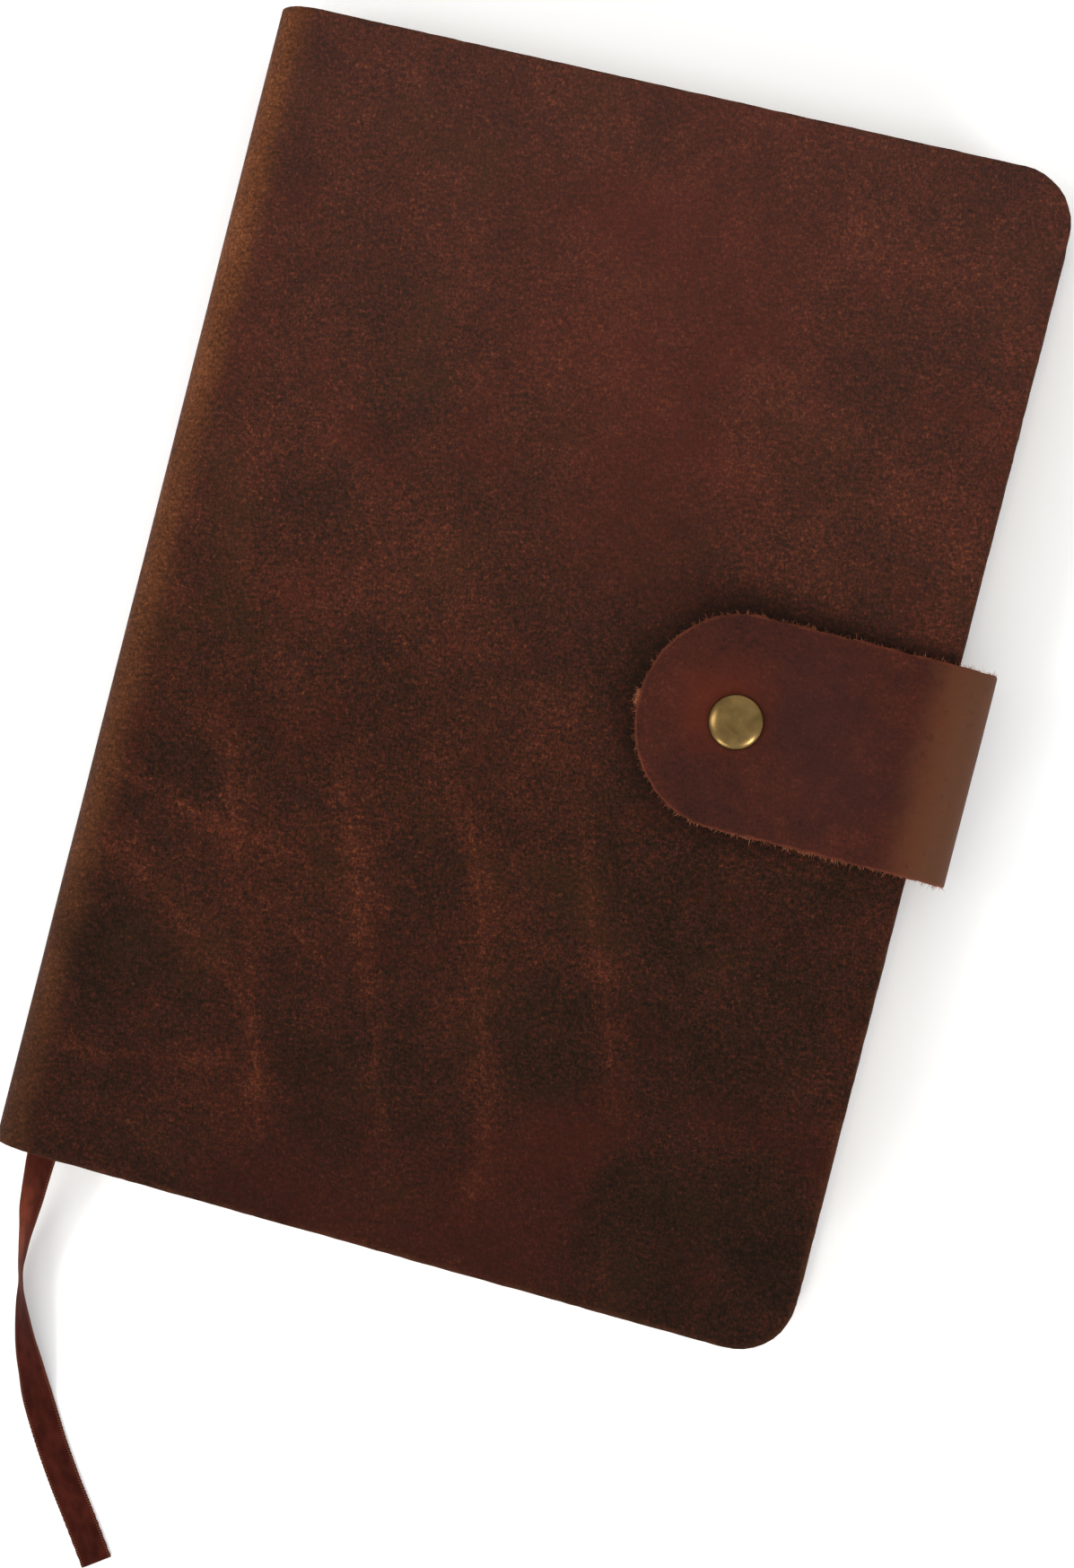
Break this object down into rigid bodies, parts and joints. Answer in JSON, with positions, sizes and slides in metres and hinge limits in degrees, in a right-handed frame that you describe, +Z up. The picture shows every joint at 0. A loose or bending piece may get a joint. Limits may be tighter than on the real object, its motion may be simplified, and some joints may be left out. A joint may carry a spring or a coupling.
{
  "type": "leather notebook cover",
  "caption": "Soft-edged leather notebook cover with a page block, a snap strap round the fore-edge and a ribbon marker.",
  "frame": {"origin": "centre of the footprint at the bottom, on the surface that the back cover lies on, without the ribbon's free end", "axes": "+X from the spine to the fore-edge, +Y from tail to head, +Z up through the closed book"},
  "size_m": [0.1608, 0.2972, 0.0262],
  "materials": {
    "cover_leather": "waxed pull-up leather, dark brown, raw cut edges",
    "strap_leather": "waxed pull-up leather, reddish brown, raw cut edges",
    "board": "grey-brown bookbinding board",
    "endpaper": "kraft-toned laid paper",
    "paper": "uncoated cream paper",
    "cloth": "open-weave cotton mull, glued",
    "thread": "waxed linen thread",
    "satin": "dark brown satin ribbon with woven edges",
    "brass": "antique brass, darkened",
    "steel": "spring wire"
  },
  "bodies": {
    "back": {"back_cover_leather": "cover_leather", "back_board": "board", "back_pastedown": "endpaper", "back_flyleaf": "endpaper", "signature_4": "paper", "signature_5": "paper", "signature_6": "paper", "mull_back": "cloth", "sewing_thread_back_1": "thread", "sewing_thread_back_2": "thread", "sewing_thread_back_3": "thread", "sewing_thread_back_4": "thread", "ribbon_marker_inner": "satin", "ribbon_marker_tail": "satin", "strap_tail": "strap_leather", "spine_leather_1": "cover_leather"},
    "front_pages": {"front_flyleaf": "endpaper", "signature_1": "paper", "signature_2": "paper", "signature_3": "paper", "mull_front": "cloth", "sewing_thread_front_1": "thread", "sewing_thread_front_2": "thread", "sewing_thread_front_3": "thread", "sewing_thread_front_4": "thread"},
    "spine_1": {"spine_leather_2": "cover_leather"},
    "spine_2": {"spine_leather_3": "cover_leather"},
    "front_cover": {"front_cover_leather": "cover_leather", "spine_leather_4": "cover_leather", "front_board": "board", "front_pastedown": "endpaper", "snap_stud": "brass", "snap_post": "brass"},
    "strap_side": {"strap_wrap": "strap_leather"},
    "strap_end": {"strap_flap": "strap_leather", "snap_cap": "brass", "snap_socket": "brass", "snap_ring_spring": "steel"}
  },
  "joints": [
    {"name": "book_open", "type": "hinge", "parent": "back", "child": "front_pages", "pos_m": [-0.0761, 0, 0.0097], "axis": [0, -1, 0], "range_deg": [0, 178]},
    {"name": "spine_bend_1", "type": "hinge", "parent": "back", "child": "spine_1", "pos_m": [-0.07556, 0, 0.00127], "axis": [0, -1, 0], "range_deg": [0, 59.33]},
    {"name": "spine_bend_2", "type": "hinge", "parent": "spine_1", "child": "spine_2", "pos_m": [-0.08043, 0, 0.0097], "axis": [0, -1, 0], "range_deg": [0, 59.33]},
    {"name": "front_cover_hinge", "type": "hinge", "parent": "spine_2", "child": "front_cover", "pos_m": [-0.07556, 0, 0.01813], "axis": [0, -1, 0], "range_deg": [0, 59.33]},
    {"name": "strap_unwrap", "type": "hinge", "parent": "back", "child": "strap_side", "pos_m": [0.07825, 0, 0.00425], "axis": [0, 1, 0], "range_deg": [0, 80]},
    {"name": "strap_flap_lift", "type": "hinge", "parent": "strap_side", "child": "strap_end", "pos_m": [0.07844, 0, 0.0193], "axis": [0, 1, 0], "range_deg": [0, 90]}
  ],
  "couplings": [
    {"joint": "spine_bend_1", "follows": "book_open", "ratio": 0.33333},
    {"joint": "spine_bend_2", "follows": "book_open", "ratio": 0.33333},
    {"joint": "front_cover_hinge", "follows": "book_open", "ratio": 0.33333}
  ]
}
